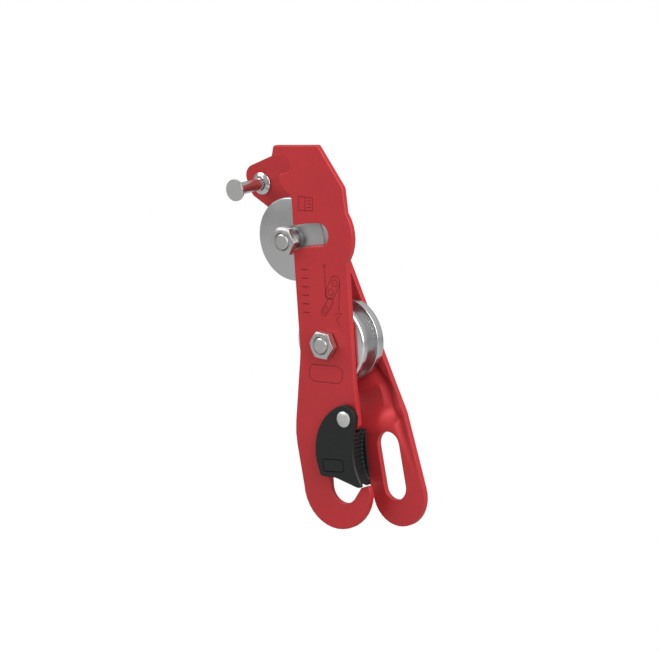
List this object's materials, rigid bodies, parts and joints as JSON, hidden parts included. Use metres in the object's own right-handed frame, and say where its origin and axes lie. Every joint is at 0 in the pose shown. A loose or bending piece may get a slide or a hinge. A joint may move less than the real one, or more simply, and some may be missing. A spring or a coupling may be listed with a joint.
{
  "type": "bobbin descender",
  "caption": "Single-rope bobbin descender: rope bobbins between a fixed and a swinging side plate, friction spur, joggled tail with attachment slot, and a sprung gate in the plate's hook.",
  "frame": {"origin": "on the pivot bolt's axis, at the outer face of its head, which is the part's rearmost plane", "axes": "+Z from the pivot bolt to the upper bolt, +Y to the back along the bolts, +X to the right seen from the nuts' side"},
  "size_m": [0.0916, 0.0339, 0.199],
  "materials": {
    "red_anodised": "satin red anodised",
    "upper_bobbin_steel": "turned stainless steel",
    "lower_bobbin_aluminium": "polished",
    "fastener_steel": "satin zinc plated",
    "spur_steel": "turned stainless steel",
    "black_nylon": "satin moulded nylon",
    "spring_steel": "drawn wire"
  },
  "bodies": {
    "frame": {"fixed_side_plate": "red_anodised", "upper_bobbin": "upper_bobbin_steel", "lower_bobbin": "lower_bobbin_aluminium", "upper_bobbin_dowel": "fastener_steel", "lower_bobbin_dowel": "fastener_steel", "upper_bolt": "fastener_steel", "pivot_bolt": "fastener_steel", "upper_nut": "fastener_steel", "pivot_nut": "fastener_steel", "notch_spacer": "fastener_steel", "pivot_bushing": "fastener_steel", "friction_spur": "spur_steel", "spur_collar": "spur_steel", "spur_washer": "fastener_steel"},
    "mobile_plate": {"mobile_side_plate": "red_anodised", "gate_rivet": "spur_steel", "gate_pivot_sleeve": "fastener_steel", "gate_rivet_washer": "fastener_steel", "gate_spring": "spring_steel"},
    "gate": {"gate": "black_nylon"}
  },
  "joints": [
    {"name": "plate_pivot", "type": "hinge", "parent": "frame", "child": "mobile_plate", "pos_m": [0, -0.0269, 0], "axis": [0, 1, 0], "range_deg": [-21.5, 88.5]},
    {"name": "gate_pivot", "type": "hinge", "parent": "mobile_plate", "child": "gate", "pos_m": [-0.00337, -0.0284, -0.03801], "axis": [0, 1, 0], "range_deg": [0, 25], "stiffness_Nm_per_rad": 0.04, "springref_deg": -34.38, "deforming": ["gate_spring"]}
  ]
}
